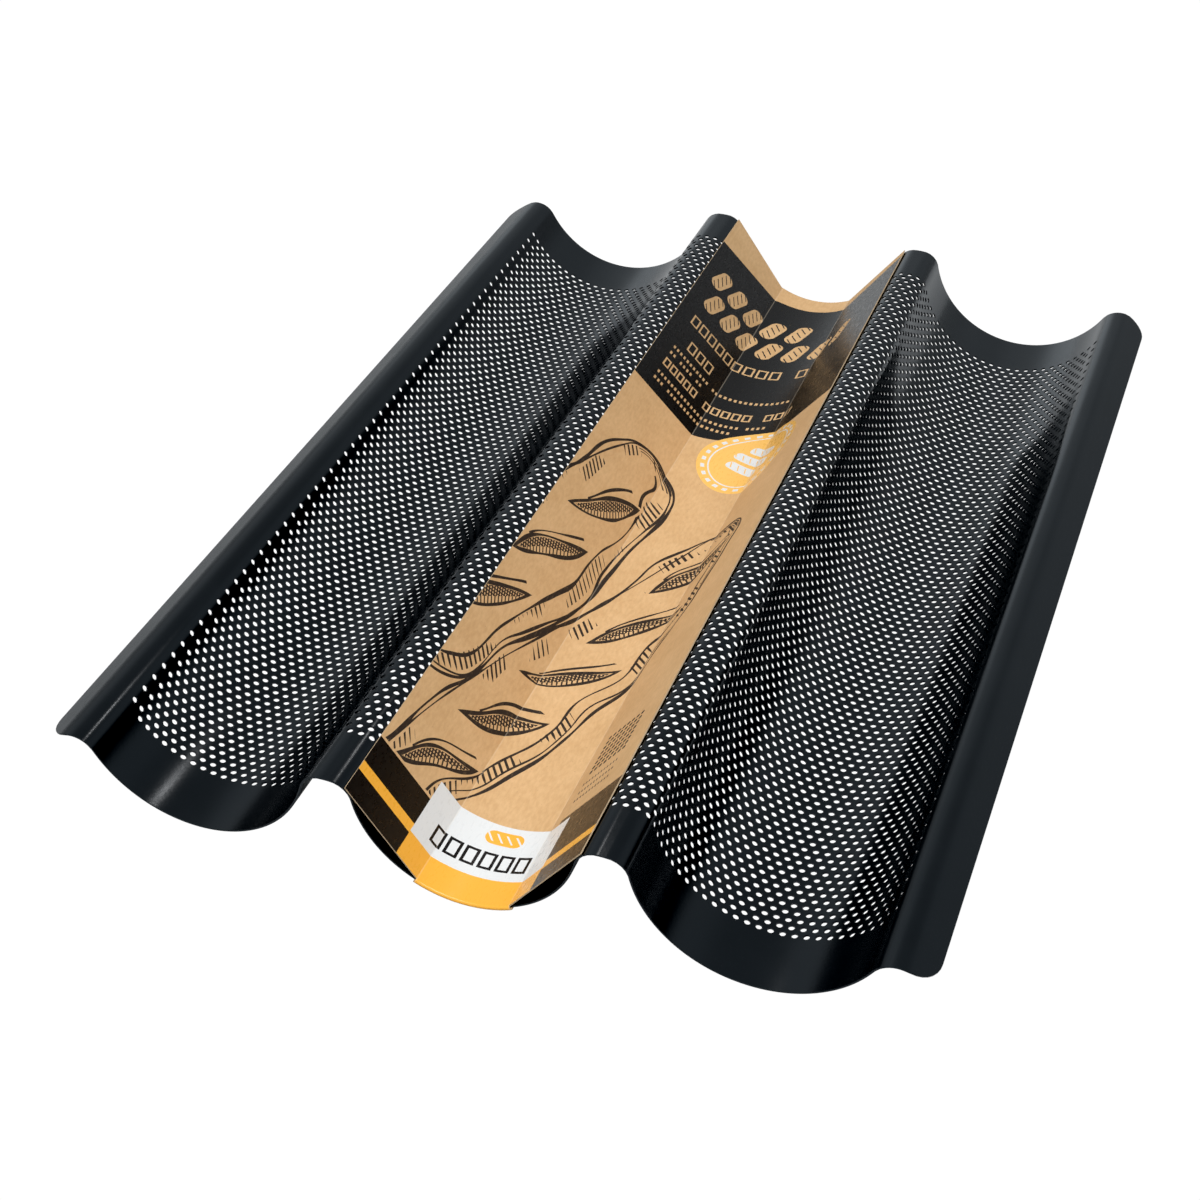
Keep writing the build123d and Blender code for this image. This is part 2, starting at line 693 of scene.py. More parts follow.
    def loaf_lines(
        self, loaf: Loaf, across: Wire, along: Wire, wobble: Wire, weight: Wire, patch: Wire
    ) -> tuple[Wire, Wire]:
        """One loaf's lines: outline, its twin, the crust's edge, strokes of shade, and slashes.

        Args:
            loaf: the loaf.
            across: place across the card.
            along: place along the card.
            wobble: slow noise about 0 that bends the lines.
            weight: half the width of a line.
            patch: 1 where the crust is shaded.

        Returns:
            1 on a line, and 1 inside the loaf's outline.
        """
        turn = math.radians(loaf.turn)
        right, ahead = across - loaf.across, along - loaf.along
        length = ahead * math.cos(turn) + right * math.sin(turn)
        width = right * math.cos(turn) - ahead * math.sin(turn) + wobble * loaf.sway
        taper = loaf.radius - (abs(length) / loaf.half_length) ** 2.5 * (loaf.radius * loaf.taper)
        outline = (abs(length) - loaf.half_length).most(0.0).hypotenuse(width) - taper
        bend = wobble * loaf.line_sway
        twin = abs(outline + loaf.twin + bend) < weight * 0.55
        crust = (abs(outline + loaf.crust + bend) < weight * 0.8) * (width > 3.0)
        strokes = (length * 2.3 + width * 1.2).sine() > 1.0 - patch * 0.75
        shade = strokes * outline.between(-loaf.crust, -2.0)
        tip = ((outline * 4.2).sine() > 0.35) * outline.between(-5.0, 0.0) * (length > loaf.half_length + 5.0)
        lines = (abs(outline) < weight) | twin | crust | shade | tip
        slash, clear = self.slash_lines(loaf, length, width, wobble, weight)
        return ((lines * clear) | slash) * (outline < 1.2), outline < 0.0

    def slash_lines(
        self, loaf: Loaf, length: Wire, width: Wire, wobble: Wire, weight: Wire
    ) -> tuple[Wire, Wire]:
        """The slashes along a loaf's back: a lens each, with a dark pit, a ribbed wall and a raised lip.

        Args:
            loaf: the loaf.
            length: place along the loaf, from its middle.
            width: place across it.
            wobble: slow noise about 0 that bends the lines.
            weight: half the width of a line.

        Returns:
            1 on a line, and 1 where other lines of the loaf stay clear of the slashes.
        """
        tilt = math.radians(loaf.slash_turn)
        step = (length + loaf.slash_gap / 2) % loaf.slash_gap - loaf.slash_gap / 2
        run = step * math.cos(tilt) + width * math.sin(tilt)
        rise = width * math.cos(tilt) - step * math.sin(tilt) + wobble * 3.0
        bow = (loaf.slash_length**2 + loaf.slash_width**2) / (4 * loaf.slash_width)
        reach = abs(rise) + (bow - loaf.slash_width / 2)
        past_the_end = abs(length - step) > loaf.half_length - 10.0
        lens = run.hypotenuse(reach) - bow + past_the_end * loaf.slash_gap
        hatch = ((run * 4.6 + rise * 2.0).sine() > -0.25) | ((run * 2.4 - rise * 4.0).sine() > 0.2)
        pit = (lens < -0.9) * (rise < 0.9) * hatch
        wall = (lens < -0.5) * (rise > 0.9) * ((run * 3.4 + rise * 1.0).sine() > 0.45)
        lip = (abs(lens - 2.2 - run * 0.13) < weight * 0.75) * (0.0 > rise) * run.between(-10.0, 20.0)
        return (abs(lens) < weight * 1.1) | pit | wall | lip, lens > 1.6

    def panel(self, across: Wire, along: Wire) -> Wire:
        """The dark panel at the far end, whose two ends run askew and bend at the creases.

        Args:
            across: place across the card.
            along: place along the card.

        Returns:
            1 on it.
        """
        near = self.panel_near.at(across)
        near_right = near - (across - self.panel_corner) * self.panel_corner_fall
        return (along < self.panel_far.at(across)) * (along > near_right.least(near))

    def marks(self, tree: Tree, across: Wire, along: Wire) -> Wire:
        """Generic marks on the dark panel: two rows of loaf pictograms over rows of plain boxes.

        Args:
            tree: the material's tree.
            across: place across the card.
            along: place along the card.

        Returns:
            1 on a mark.
        """
        level = along - across * self.row_slope
        pitch = self.panel_mark_pitch
        cosine, sine = math.cos(self.panel_mark_turn), math.sin(self.panel_mark_turn)
        marks: Any = 0.0
        for row in self.panel_mark_rows:
            cell = ((across - row.start) / pitch).floor()
            shift = across - row.start - (cell + 0.5) * pitch
            rise = level - row.level
            mark = self.panel_mark.draw(rise * cosine + shift * sine, shift * cosine - rise * sine)
            marks = mark * cell.between(-0.5, row.count - 0.5) + marks
        for row in self.panel_box_rows:
            marks = marks + row.draw(tree, across, level)
        return marks.least(1.0)

    def small_print(self, tree: Tree, across: Wire, along: Wire) -> Wire:
        """A grid of dots and three rows of dashes low on the right side panel.

        Args:
            tree: the material's tree.
            across: place across the card.
            along: place along the card.

        Returns:
            1 on a mark.
        """
        pitch = self.grid_pitch
        across_dot = (across - self.grid_across[0]) % pitch - pitch / 2
        along_dot = (along - self.grid_along[0]) % pitch - pitch / 2
        dots = across_dot.hypotenuse(along_dot) < self.grid_dot
        marks = dots * across.between(*self.grid_across) * along.between(*self.grid_along)
        for level in self.grid_lines:
            marks = marks + BoxRow(level, 0.6, *self.grid_across, stroke=0.3).draw(tree, across, along)
        return marks

    def badge(self, tree: Tree, across: Wire, along: Wire) -> tuple[Wire, Wire]:
        """The round badge, with a fine ring, a ring of dashes and three loaf pictograms.

        Args:
            tree: the material's tree.
            across: place across the card.
            along: place along the card.

        Returns:
            1 on the badge, and 1 on its white marks.
        """
        right, ahead = across - self.badge_place[0], along - self.badge_place[1]
        radius = right.hypotenuse(ahead)
        angle = tree.math("ARCTAN2", ahead, right)
        dashes = radius.between(*self.badge_dashes) * ((angle * self.badge_dash_count).sine() > 0.1)
        marks = radius.between(*self.badge_ring) | dashes
        cosine, sine = math.cos(self.badge_turn), math.sin(self.badge_turn)
        run = ahead * cosine + right * sine
        off = right * cosine - ahead * sine
        for place in (-self.badge_mark_gap, 0.0, self.badge_mark_gap):
            half = self.badge_mark.half_length - abs(place) * 0.4
            marks = marks | self.badge_mark.draw(off, run - place, half)
        return radius < self.badge_radius, marks

    def border(self, across: Wire, along: Wire) -> Wire:
        """The dark band at the near end of both side panels.

        Args:
            across: place across the card.
            along: place along the card.

        Returns:
            1 on it.
        """
        left = (along < self.band_left) * (across < -self.band_inside)
        right = (along < self.band_right) * (across > self.band_inside)
        return left | right

    def orange_zone(self, across: Wire, along: Wire) -> Wire:
        """The stripe on the dark band and the plain orange over the near fold.

        Args:
            across: place across the card.
            along: place along the card.

        Returns:
            1 on it.
        """
        stripe = along.between(*self.stripe_ends) * (abs(across) > self.stripe_inside)
        return stripe | ((along < self.fold_colour_from) * (abs(across) < self.label_half))

    def label(self, tree: Tree, across: Wire, along: Wire) -> tuple[Wire, Wire, Wire]:
        """The white label at the near end, with a loaf pictogram and a row of plain boxes.

        Args:
            tree: the material's tree.
            across: place across the card.
            along: place along the card.

        Returns:
            1 on the label, 1 on its orange mark, and 1 on its dark boxes.
        """
        label = along.between(*self.label_ends) * (abs(across) < self.label_half)
        mark = self.label_mark.draw(across - self.label_mark_place[0], along - self.label_mark_place[1])
        return label, mark, self.label_boxes.draw(tree, across, along)


@dataclass(frozen=True)
class TackyDot(Finish):
    """Clear removable adhesive, a little milky."""

    name: str = "tacky_dot"
    milky: Colour = (0.70, 0.69, 0.62)
    clear: Colour = (0.84, 0.83, 0.78)
    cloud_scale: float = 700.0
    unevenness: float = 0.03 * MM

    def surface(self, tree: Tree, place: Wire) -> bpy.types.Node:
        """Adds the adhesive's shader.

        Args:
            tree: the material's tree.
            place: object coordinates in metres.

        Returns:
            The shader node.
        """
        cloud = tree.noise(place, self.cloud_scale, 3.0)
        values = {
            "Base Color": tree.mix(cloud, self.milky, self.clear),
            "Roughness": cloud.ramp(0.3, 0.7, 0.16, 0.34),
            "Normal": self.relief(tree, cloud, self.unevenness),
        }
        return tree.node("ShaderNodeBsdfPrincipled", {}, values)


@dataclass(frozen=True)
class ClearFloor(Finish):
    """The table top and backdrop as they are seen: even white."""

    name: str = "clear_floor"
    low: Colour = (0.995, 0.995, 0.995)
    high: Colour = (1.0, 1.0, 1.0)
    glow: float = 1.02

    def surface(self, tree: Tree, place: Wire) -> bpy.types.Node:
        """Adds the floor's shader.

        Args:
            tree: the material's tree.
            place: object coordinates in metres.

        Returns:
            The shader node.
        """
        grain = tree.noise(place, 12.0, 2.0)
        colour = tree.mix(grain, self.low, self.high)
        return tree.node("ShaderNodeEmission", {}, {"Color": colour, "Strength": self.glow})


@dataclass(frozen=True)
class MattFloor(Finish):
    """The table top as it lights the object: matt paper, dark where the object shades it."""

    name: str = "matt_floor"
    low: Colour = (0.50, 0.50, 0.50)
    high: Colour = (0.54, 0.54, 0.54)

    def surface(self, tree: Tree, place: Wire) -> bpy.types.Node:
        """Adds the floor's shader.

        Args:
            tree: the material's tree.
            place: object coordinates in metres.

        Returns:
            The shader node.
        """
        grain = tree.noise(place, 300.0, 2.0)
        values = {"Color": tree.mix(grain, self.low, self.high), "Roughness": 1.0}
        return tree.node("ShaderNodeBsdfDiffuse", {}, values)


# ------------------------------------------------------------------ pressed sheet
@dataclass
class SheetSection:
    """Mid-surface section of the pressed sheet, in metres, from the middle trough to the flange edge."""

    sheet: float = 0.6 * MM
    outer_radius: float = 39.1 * MM
    outer_wall: float = math.radians(75.7)
    flange_wall: float = math.radians(60.0)
    middle_radius: float = 35.9 * MM
    middle_wall: float = math.radians(78.2)
    ridge_bend: float = 6.7 * MM
    ridge_flat: float = 2.7 * MM
    flange_bend: float = 7.7 * MM
    flange_slope: float = math.radians(29.0)
    flange_width: float = 7.4 * MM
    step: float = 0.4 * MM

    def runs(self) -> list[tuple[float, float]]:
        """The section's arcs and straights, outwards.

        Returns:
            Length and turn of each; a turn up is positive.
        """
        half = self.sheet / 2
        arcs = (
            (self.middle_radius - half, self.middle_wall),
            (self.ridge_bend + half, -self.middle_wall),
            (None, self.ridge_flat),
            (self.ridge_bend + half, -self.outer_wall),
            (self.outer_radius - half, self.outer_wall + self.flange_wall),
            (self.flange_bend + half, -self.flange_wall - self.flange_slope),
            (None, self.flange_width),
        )
        return [(turn, 0.0) if radius is None else (radius * abs(turn), turn) for radius, turn in arcs]

    def half_width(self) -> float:
        """Developed width from the middle to the flange edge."""
        return sum(length for length, _ in self.runs())

    def rise(self) -> float:
        """How high the middle trough lies, which is smaller than the outer ones but shares their ridges.

        Returns:
            Height of its mid-surface over the standing surface.
        """
        ridge = (self.outer_radius + self.ridge_bend) * (1 - math.cos(self.outer_wall))
        trough = (self.middle_radius + self.ridge_bend) * (1 - math.cos(self.middle_wall))
        return ridge - trough + self.sheet / 2

    def points(self) -> list[tuple[float, float]]:
        """Points along the whole section, evenly close on each run.

        Returns:
            Their x and z, left to right.
        """
        x, z, heading = 0.0, self.rise(), 0.0
        right = [(x, z)]
        for length, turn in self.runs():
            count = max(2, math.ceil(length / self.step))
            bend = turn / count
            chord = length / count if turn == 0 else 2 * length / abs(turn) * math.sin(abs(bend) / 2)
            for _ in range(count):
                x += chord * math.cos(heading + bend / 2)
                z += chord * math.sin(heading + bend / 2)
                heading += bend
                right.append((x, z))
        return [(-x, z) for x, z in right[:0:-1]] + right


class FlatMesh:
    """Faces of a flat sheet with thickness: u across, v along, w up, merged by place."""

    def __init__(self) -> None:
        self.places: dict[tuple[int, int, int], int] = {}
        self.corners: list[tuple[float, float, float]] = []
        self.faces: list[list[int]] = []
        self.sides: list[int] = []

    def corner(self, u: float, v: float, w: float) -> int:
        """The vertex at a place, made if it isn't there yet.

        Args:
            u: distance across.
            v: distance along.
            w: height.

        Returns:
            Its index.
        """
        key = (round(u * 1e7), round(v * 1e7), round(w * 1e7))
        if key not in self.places:
            self.places[key] = len(self.corners)
            self.corners.append((u, v, w))
        return self.places[key]

    def face(self, side: Side, corners: Iterable[tuple[float, float, float]]) -> None:
        """Adds a face, leaving out doubled corners.

        Args:
            side: the surface that it belongs to.
            corners: its corners, counterclockwise from outside.
        """
        indices: list[int] = []
        for place in corners:
            index = self.corner(*place)
            if index not in indices:
                indices.append(index)
        if len(indices) > 2:
            self.faces.append(indices)
            self.sides.append(side.value)

    def plate(self, outline: Sequence[tuple[float, float]], half: float) -> None:
        """Top and underside of a flat patch.

        Args:
            outline: its corners, counterclockwise from above.
            half: half the thickness.
        """
        self.face(Side.TOP, [(u, v, half) for u, v in outline])
        self.face(Side.UNDERSIDE, [(u, v, -half) for u, v in reversed(outline)])

    def mesh(self, name: str) -> bpy.types.Mesh:
        """The faces as a Blender mesh with a "side" attribute.

        Args:
            name: the mesh's name.

        Returns:
            The mesh.
        """
        mesh = bpy.data.meshes.new(name)
        mesh.from_pydata(self.corners, [], self.faces)
        side = mesh.attributes.new("side", "INT", "FACE")
        side.data.foreach_set("value", self.sides)
        return mesh


@dataclass
class PerforatedSheet:
    """The tray: one sheet with staggered round holes, pressed into three troughs and two ridges."""

    section: SheetSection = field(default_factory=SheetSection)
    length: float = 385.0 * MM
    pitch: float = 3.654 * MM
    row_step: float = 3.012 * MM
    rows: int = 114
    columns: int = 90
    first_row: float = -170.2 * MM
    short_holes: int = 87
    hole: float = 2.0 * MM
    hole_sides: int = 12
    corner: float = 10.0 * MM
    corner_steps: int = 8
    margin_steps: int = 7
    edge_round: float = 0.1 * MM
    weld: float = 0.02 * MM
    slices: tuple[str, ...] = ("front", "front_middle", "rear_middle", "rear")
    finish: Finish = field(default_factory=NonStickCoat)

    def reach(self) -> float:
        """Half the width of a full row of cells."""
        return self.columns / 2 * self.pitch

    def side_lines(self) -> list[float]:
        """Divisions of the blank side margin and the rounded corner.

        Returns:
            Distances from the middle, outwards from the holes.
        """
        start, width = self.reach(), self.section.half_width()
        bend = width - self.corner
        margin = [start + (bend - start) * i / self.margin_steps for i in range(self.margin_steps)]
        turns = [math.pi / 2 * i / self.corner_steps for i in range(self.corner_steps + 1)]
        return margin + [bend + self.corner * math.sin(turn) for turn in turns]

    def lines(self) -> list[float]:
        """All divisions across the sheet: holes in the middle, a blank margin on each side.

        Returns:
            Distances from the middle, left to right.
        """
        half = self.pitch / 2
        inner = [i * half for i in range(-self.columns + 1, self.columns)]
        side = self.side_lines()
        return [-u for u in reversed(side)] + inner + side

    def hole_cell(self) -> bpy.types.Object:
        """One hole in its rectangle of sheet, centred on the origin.

        Returns:
            The object, which the perforation repeats.
        """
        flat = FlatMesh()
        half = self.section.sheet / 2
        p, s = self.pitch / 2, self.row_step / 2
        rim = [(p, -s), (p, s), (0.0, s), (-p, s), (-p, -s), (0.0, -s)]
        count = self.hole_sides
        turns = [2 * math.pi * i / count for i in range(count)]
        ring = [(self.hole / 2 * math.cos(a), self.hole / 2 * math.sin(a)) for a in turns]
        rim_turns = [math.atan2(v, u) for u, v in rim]
        rim_turns = [a + 2 * math.pi if i and a < rim_turns[0] else a for i, a in enumerate(rim_turns)]
        outer = inner = 0
        rim_turns += [rim_turns[0] + 2 * math.pi, math.inf]
        turns += [2 * math.pi, math.inf]
        while outer < len(rim) or inner < count:
            next_rim, next_ring = rim_turns[outer + 1], turns[inner + 1]
            a, b = rim[outer % len(rim)], ring[inner % count]
            if next_rim <= next_ring:
                outer += 1
                flat.plate([a, rim[outer % len(rim)], b], half)
            else:
                inner += 1
                flat.plate([a, ring[inner % count], b], half)
        for i in range(count):
            a, b = ring[i], ring[(i + 1) % count]
            flat.face(Side.WALL, [(*b, -half), (*a, -half), (*a, half), (*b, half)])
        return self._helper("hole_cell", flat.mesh("hole_cell"))

    def blank(self, first: int, last: int) -> FlatMesh:
        """The flat sheet round the holes of some rows.

        Args:
            first: first row.
            last: last row.

        Returns:
            Its faces, closed all round.
        """
        flat = FlatMesh()
        half = self.section.sheet / 2
        inset = self.edge_round
        near, far = first == 0, last == self.rows - 1
        row_lines = [self.first_row + (j - 0.5) * self.row_step for j in range(first, last + 2)]
        across = self.lines()
        side = self.side_lines()
        width = side[-1]

        def trim(u: float) -> float:
            """Keeps the flat faces clear of the rounded side edge."""
            return max(-width + inset, min(width - inset, u))

        def patch(left: float, right: float, low: float, high: float) -> None:
            """A plate between two divisions across and two along."""
            a, b = trim(left), trim(right)
            flat.plate([(a, low), (b, low), (b, high), (a, high)], half)

        for j, (low, high) in enumerate(zip(row_lines, row_lines[1:]), first):
            short = j % 2 == 0
            start = self.short_holes / 2 * self.pitch if short else self.reach()
            extra = [start + i * self.pitch / 2 for i in range(3)] if short else []
            lines = extra + side
            for left, right in zip(lines, lines[1:]):
                patch(left, right, low, high)
                patch(-right, -left, low, high)

        for at_end, sign, edge in ((near, -1, row_lines[0]), (far, 1, row_lines[-1])):
            if not at_end:
                continue
            bend = sign * (self.length / 2 - self.corner)
            for left, right in zip(across, across[1:]):
                patch(left, right, min(edge, bend), max(edge, bend))
                tips = [self._edge_points(*self._end_place(u, sign))[0][:2] for u in (right, left)]
                flat.plate([(trim(left), bend), (trim(right), bend), *tips][::sign], half)

        self._walls(flat, across, row_lines, near, far)
        return flat

    def _end_place(self, u: float, sign: int) -> tuple[float, float, float, float]:
        """A point of an end edge, whose corners are rounded.

        Args:
            u: distance across.
            sign: 1 for the far end, -1 for the near one.

        Returns:
            Its distances across and along, and its outward direction.
        """
        sine = max(0.0, abs(u) - (self.section.half_width() - self.corner)) / self.corner
        cosine = math.sqrt(max(0.0, 1 - sine**2))
        tip = self.length / 2 - self.corner * (1 - cosine)
        return u, sign * tip, math.copysign(sine, u), sign * cosine

    def _edge_points(self, u: float, v: float, nu: float, nv: float) -> list[tuple[float, float, float]]:
        """Places round the sheet's edge, which is rounded a little above and below.

        Args:
            u: distance across.
            v: distance along.
            nu: outward direction, across.
            nv: outward direction, along.

        Returns:
            Four places, from the underside to the top.
        """
        half, inset = self.section.sheet / 2, self.edge_round
        inner = (u - nu * inset, v - nv * inset)
        return [(*inner, -half), (u, v, -half + inset), (u, v, half - inset), (*inner, half)]

    def _walls(
        self, flat: FlatMesh, across: Sequence[float], row_lines: Sequence[float], near: bool, far: bool
    ) -> None:
        """Closes the sheet all round: rounded edges outside, plain cuts between slices.

        Args:
            flat: the faces so far.
            across: divisions across the sheet.
            row_lines: divisions along it.
            near: whether the near end of the tray is in this slice.
            far: whether the far end is.
        """
        width = self.section.half_width()
        stop = self.length / 2 - self.corner

        def band(places: Sequence[tuple[float, float, float, float]]) -> None:
            """Wall along a run of edge points.

            Args:
                places: the points with their outward directions, counterclockwise from above.
            """
            rings = [self._edge_points(*place) for place in places]
            for a, b in zip(rings, rings[1:]):
                for i in range(3):
                    flat.face(Side.WALL, [a[i], b[i], b[i + 1], a[i + 1]])

        if near:
            band([self._end_place(u, -1) for u in across])
        else:
            self._cut(flat, across, row_lines[0], 1)
        if far:
            band([self._end_place(u, 1) for u in reversed(across)])
        else:
            self._cut(flat, across, row_lines[-1], -1)
        lines = ([-stop] if near else []) + list(row_lines) + ([stop] if far else [])
        band([(width, v, 1.0, 0.0) for v in lines])
        band([(-width, v, -1.0, 0.0) for v in reversed(lines)])

    def _cut(self, flat: FlatMesh, across: Sequence[float], v: float, order: int) -> None:
        """Closes a slice where the next one goes on.

        Args:
            flat: the faces so far.
            across: divisions across the sheet.
            v: where the cut is.
            order: 1 for the near cut, -1 for the far one.
        """
        half, inset = self.section.sheet / 2, self.edge_round
        width = self.section.half_width()
        for left, right in zip(across, across[1:]):
            low = [(max(left, -width + inset), -half), (min(right, width - inset), -half)]
            high = [(min(right, width - inset), half), (max(left, -width + inset), half)]
            if right >= width:
                low += [(width, -half + inset), (width, half - inset)]
            if left <= -width:
                high += [(-width, half - inset), (-width, -half + inset)]
            outline = (low + high)[::order]
            flat.face(Side.WALL, [(u, v, w) for u, w in outline])

    def section_curve(self) -> bpy.types.Object:
        """The section as a curve, which the flat sheet is bent along.

        Returns:
            The curve object.
        """
        curve = bpy.data.curves.new("section_line", "CURVE")
        curve.dimensions = "3D"
        spline = curve.splines.new("POLY")
        points = self.section.points()
        spline.points.add(len(points) - 1)
        for point, (x, z) in zip(spline.points, points):
            point.co = (x, 0.0, z, 1.0)
        return self._helper("section_line", curve)

    def _helper(self, name: str, data: bpy.types.ID) -> bpy.types.Object:
        """Links an object that is only used while the sheet is made.

        Args:
            name: its name.
            data: its mesh or curve.

        Returns:
            The object.
        """
        helper = bpy.data.objects.new(name, data)
        bpy.context.scene.collection.objects.link(helper)
        return helper

    def press_tree(self) -> bpy.types.NodeTree:
        """Geometry Nodes that perforate a blank and press it to the section.

        Returns:
            The node group.
        """
        group = bpy.data.node_groups.new("perforate_and_press", "GeometryNodeTree")
        sockets = {
            "Geometry": ("Blank",),
            "Object": ("Hole Cell", "Section"),
            "Int": ("Columns", "Rows", "First Is Short"),
            "Float": ("Pitch", "Row Step", "Start", "Short Reach", "Flat Width"),
            "Material": ("Finish",),
        }
        for kind, names in sockets.items():
            for name in names:
                group.interface.new_socket(name, in_out="INPUT", socket_type=f"NodeSocket{kind}")
        group.interface.new_socket("Sheet", in_out="OUTPUT", socket_type="NodeSocketGeometry")
        tree = Tree(group)
        given = tree.node("NodeGroupInput")
        asked = {name: tree.out(given, name) for names in sockets.values() for name in names}

        index = tree.out(tree.node("GeometryNodeInputIndex"))
        columns = asked["Columns"]
        row = tree.math("FLOOR", (index + 0.5) / columns)
        short = (row + asked["First Is Short"]) % 2.0
        column = index - row * columns
        u = (column - (columns - 1.0) / 2.0 + short * 0.5) * asked["Pitch"]
        v = asked["Start"] + row * asked["Row Step"]
        spots = {"Count": columns * asked["Rows"], "Position": tree.join(u, v, 0.0)}
        points = tree.node("GeometryNodePoints", {}, spots)
        here = tree.out(tree.node("GeometryNodeInputPosition"))
        here_u, here_v, here_w = here.parts()
        here_row = tree.math("ROUND", (here_v - asked["Start"]) / asked["Row Step"])
        here_short = (here_row + asked["First Is Short"]) % 2.0
        spare = here_short * (abs(here_u) > asked["Short Reach"])
        clipped = {"Geometry": tree.out(points), "Selection": spare}
        kept = tree.node("GeometryNodeDeleteGeometry", {"domain": "POINT"}, clipped)
        cell = tree.node("GeometryNodeObjectInfo", {}, {"Object": asked["Hole Cell"]})
        copies = {"Points": tree.out(kept), "Instance": tree.out(cell, "Geometry")}
        holes = tree.node("GeometryNodeInstanceOnPoints", {}, copies)
        real = tree.node("GeometryNodeRealizeInstances", {}, {"Geometry": tree.out(holes)})
        joined = tree.node("GeometryNodeJoinGeometry", {}, {"Geometry": [tree.out(real), asked["Blank"]]})
        welded = {"Geometry": tree.out(joined), "Distance": self.weld}
        sheet = tree.node("GeometryNodeMergeByDistance", {}, welded)

        line = tree.node("GeometryNodeObjectInfo", {}, {"Object": asked["Section"]})
        spot = tree.node(
            "GeometryNodeSampleCurve",
            {"mode": "FACTOR"},
            {"Curves": tree.out(line, "Geometry"), "Factor": here_u / asked["Flat Width"] + 0.5},
        )
        along_x, _, along_z = tree.out(spot, "Tangent").parts()
        up = tree.join(-along_z, 0.0, along_x)
        lie = tree.node(
            "GeometryNodeStoreNamedAttribute",
            {"data_type": "FLOAT_VECTOR", "domain": "POINT"},
            {"Geometry": tree.out(sheet), "Name": "sheet_up", "Value": up},
        )
        place = tree.out(spot, "Position") + tree.join(0.0, here_v, 0.0) + up * here_w
        bent = tree.node("GeometryNodeSetPosition", {}, {"Geometry": tree.out(lie), "Position": place})
        whole = tree.node("GeometryNodeRealizeInstances", {}, {"Geometry": tree.out(bent)})
        coated = {"Geometry": tree.out(whole), "Material": asked["Finish"]}
        dressed = tree.node("GeometryNodeSetMaterial", {}, coated)
        tree.node("NodeGroupOutput", {}, {"Sheet": tree.out(dressed)})
        return group

    def press(self, name: str, first: int, last: int, tools: dict[str, Any]) -> bpy.types.Object:
        """Makes one slice of the tray.

        Args:
            name: the piece's name.
            first: its first row of holes.
            last: its last row.
            tools: the helper objects, the tree and the material.

        Returns:
            The finished piece.
        """
        blank = bpy.data.objects.new(name, self.blank(first, last).mesh(name + "_blank"))
        bpy.context.scene.collection.objects.link(blank)
        modifier = blank.modifiers.new("Press", "NODES")
        modifier.node_group = tools["tree"]
        sizes = {
            "Hole Cell": tools["cell"], "Section": tools["line"], "Columns": self.columns,
            "Rows": last - first + 1, "First Is Short": (first + 1) % 2, "Pitch": self.pitch,
            "Row Step": self.row_step, "Start": self.first_row + first * self.row_step,
            "Short Reach": self.short_holes / 2 * self.pitch, "Flat Width": 2 * self.section.half_width(),
            "Finish": tools["material"],
        }
        for item in tools["tree"].interface.items_tree:
            if item.in_out == "INPUT" and item.name in sizes:
                modifier[item.identifier] = sizes[item.name]
        graph = bpy.context.evaluated_depsgraph_get()
        mesh = bpy.data.meshes.new_from_object(blank.evaluated_get(graph), depsgraph=graph)
        blank.modifiers.clear()
        spare = blank.data
        blank.data = mesh
        bpy.data.meshes.remove(spare)
        mesh.name = name
        self.shade(mesh)
        return blank

    def shade(self, mesh: bpy.types.Mesh) -> None:
        """Gives the top and underside the normals of the pressed surface, and keeps the cut edges crisp.

        Args:
            mesh: a pressed slice.
        """
        up = np.zeros(len(mesh.vertices) * 3, np.float32)
        mesh.attributes["sheet_up"].data.foreach_get("vector", up)
        side = np.zeros(len(mesh.polygons), np.int32)
        mesh.attributes["side"].data.foreach_get("value", side)
        sizes = np.zeros(len(mesh.polygons), np.int32)
        mesh.polygons.foreach_get("loop_total", sizes)
        loop_side = np.repeat(side, sizes)
        corners = np.zeros(len(mesh.loops), np.int32)
        mesh.loops.foreach_get("vertex_index", corners)
        edges = np.zeros(len(mesh.loops), np.int32)
        mesh.loops.foreach_get("edge_index", edges)
        least = np.full(len(mesh.edges), 9)
        most = np.full(len(mesh.edges), -9)
        np.minimum.at(least, edges, loop_side)
        np.maximum.at(most, edges, loop_side)
        mesh.polygons.foreach_set("use_smooth", np.ones(len(mesh.polygons), bool))
        mesh.edges.foreach_set("use_edge_sharp", least != most)
        normals = up.reshape(-1, 3)[corners] * loop_side[:, None]
        mesh.normals_split_custom_set(normals)
        for name in ("sheet_up", "side"):
            mesh.attributes.remove(mesh.attributes[name])

    def build(self) -> list[bpy.types.Object]:
        """Makes the whole tray, in slices along its length.

        Returns:
            The pieces.
        """
        tools = {
            "cell": self.hole_cell(), "line": self.section_curve(), "tree": self.press_tree(),
            "material": self.finish.make(),
        }
        share = [round(self.rows * i / len(self.slices)) for i in range(len(self.slices) + 1)]
        pieces = [
            self.press(f"tray_{name}", first, last - 1, tools)
            for name, first, last in zip(self.slices, share, share[1:])
        ]
        for helper in (tools["cell"], tools["line"]):
            bpy.data.objects.remove(helper)
        bpy.data.node_groups.remove(tools["tree"])
        for piece in pieces:
            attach(piece, "root")
            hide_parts("tray_sheet")
            LOG.info("%s: %d faces", piece.name, len(piece.data.polygons))
        return pieces


